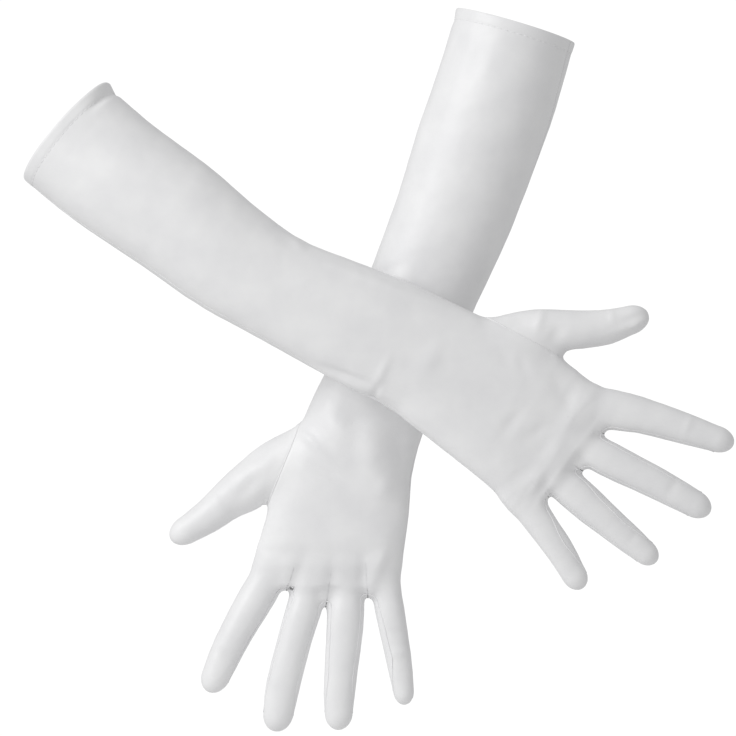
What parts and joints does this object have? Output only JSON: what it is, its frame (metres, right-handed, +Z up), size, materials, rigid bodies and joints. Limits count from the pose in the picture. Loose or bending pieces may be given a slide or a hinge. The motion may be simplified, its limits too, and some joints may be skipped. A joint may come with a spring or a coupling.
{
  "type": "opera gloves",
  "caption": "Pair of long satin gloves in worn shape, arms crossed, with plain hemmed openings, set-in thumbs and fourchettes between jointed fingers.",
  "frame": {"origin": "centre of the left glove's arm opening, where the wearer's arm holds it", "axes": "+Z up, -Y out of the backs of both hands, +X to the right of someone facing them; the mount's axis runs back up the arm"},
  "size_m": [0.4049, 0.1031, 0.4175],
  "materials": {
    "satin": "white satin, smooth with a soft sheen",
    "fourchette_satin": "white satin, cut across the stretch",
    "thread": "white polyester sewing thread"
  },
  "bodies": {
    "left_sleeve": {"left_sleeve": "satin", "left_hem_facing": "satin", "left_hem_stitching": "thread", "left_side_seam": "thread"},
    "left_hand": {"left_hand": "satin", "left_hand_seam": "thread"},
    "left_thumb": {"left_thumb": "satin"},
    "left_index": {"left_index_stall": "satin", "left_index_outer_fourchette": "fourchette_satin"},
    "left_middle": {"left_middle_stall": "satin", "left_middle_inner_fourchette": "fourchette_satin", "left_middle_outer_fourchette": "fourchette_satin"},
    "left_ring": {"left_ring_stall": "satin", "left_ring_inner_fourchette": "fourchette_satin", "left_ring_outer_fourchette": "fourchette_satin"},
    "left_little": {"left_little_stall": "satin", "left_little_inner_fourchette": "fourchette_satin"},
    "right_sleeve": {"right_sleeve": "satin", "right_hem_facing": "satin", "right_hem_stitching": "thread", "right_side_seam": "thread"},
    "right_hand": {"right_hand": "satin", "right_hand_seam": "thread"},
    "right_thumb": {"right_thumb": "satin"},
    "right_index": {"right_index_stall": "satin", "right_index_outer_fourchette": "fourchette_satin"},
    "right_middle": {"right_middle_stall": "satin", "right_middle_inner_fourchette": "fourchette_satin", "right_middle_outer_fourchette": "fourchette_satin"},
    "right_ring": {"right_ring_stall": "satin", "right_ring_inner_fourchette": "fourchette_satin", "right_ring_outer_fourchette": "fourchette_satin"},
    "right_little": {"right_little_stall": "satin", "right_little_inner_fourchette": "fourchette_satin"}
  },
  "joints": [
    {"name": "right_glove_slide", "type": "slide", "parent": "left_sleeve", "child": "right_sleeve", "axis": [0, -1, 0], "range_m": [0, 0.12]},
    {"name": "left_wrist", "type": "hinge", "parent": "left_sleeve", "child": "left_hand", "pos_m": [-0.084, 0, -0.222], "axis": [0.9659, 0, -0.2588], "range_deg": [-20, 50]},
    {"name": "left_thumb_root", "type": "hinge", "parent": "left_hand", "child": "left_thumb", "pos_m": [-0.13435, 0, -0.2537], "axis": [-0.3737, 0, -0.9275], "range_deg": [0, 40]},
    {"name": "left_index_root", "type": "hinge", "parent": "left_hand", "child": "left_index", "pos_m": [-0.1393, 0, -0.31], "axis": [0.8988, 0, -0.4384], "range_deg": [0, 65]},
    {"name": "left_middle_root", "type": "hinge", "parent": "left_hand", "child": "left_middle", "pos_m": [-0.1173, 0, -0.312], "axis": [0.9763, 0, -0.2164], "range_deg": [0, 65]},
    {"name": "left_ring_root", "type": "hinge", "parent": "left_hand", "child": "left_ring", "pos_m": [-0.0965, 0, -0.312], "axis": [0.9976, 0, -0.0698], "range_deg": [0, 65]},
    {"name": "left_little_root", "type": "hinge", "parent": "left_hand", "child": "left_little", "pos_m": [-0.078, 0, -0.309], "axis": [0.9848, 0, 0.1736], "range_deg": [0, 65]},
    {"name": "right_wrist", "type": "hinge", "parent": "right_sleeve", "child": "right_hand", "pos_m": [-0.06, -0.046, -0.188], "axis": [0.454, 0, 0.891], "range_deg": [-45, 0]},
    {"name": "right_thumb_root", "type": "hinge", "parent": "right_hand", "child": "right_thumb", "pos_m": [0.0032, -0.046, -0.1798], "axis": [-0.8805, 0, 0.4741], "range_deg": [0, 40]},
    {"name": "right_index_root", "type": "hinge", "parent": "right_hand", "child": "right_index", "pos_m": [0.0346, -0.046, -0.2168], "axis": [0.2672, 0, 0.9636], "range_deg": [0, 65]},
    {"name": "right_middle_root", "type": "hinge", "parent": "right_hand", "child": "right_middle", "pos_m": [0.0272, -0.046, -0.2364], "axis": [0.4695, 0, 0.8829], "range_deg": [0, 65]},
    {"name": "right_ring_root", "type": "hinge", "parent": "right_hand", "child": "right_ring", "pos_m": [0.0166, -0.046, -0.2552], "axis": [0.6494, 0, 0.7604], "range_deg": [0, 65]},
    {"name": "right_little_root", "type": "hinge", "parent": "right_hand", "child": "right_little", "pos_m": [0.0006, -0.046, -0.2678], "axis": [0.8434, 0, 0.5373], "range_deg": [0, 65]}
  ]
}
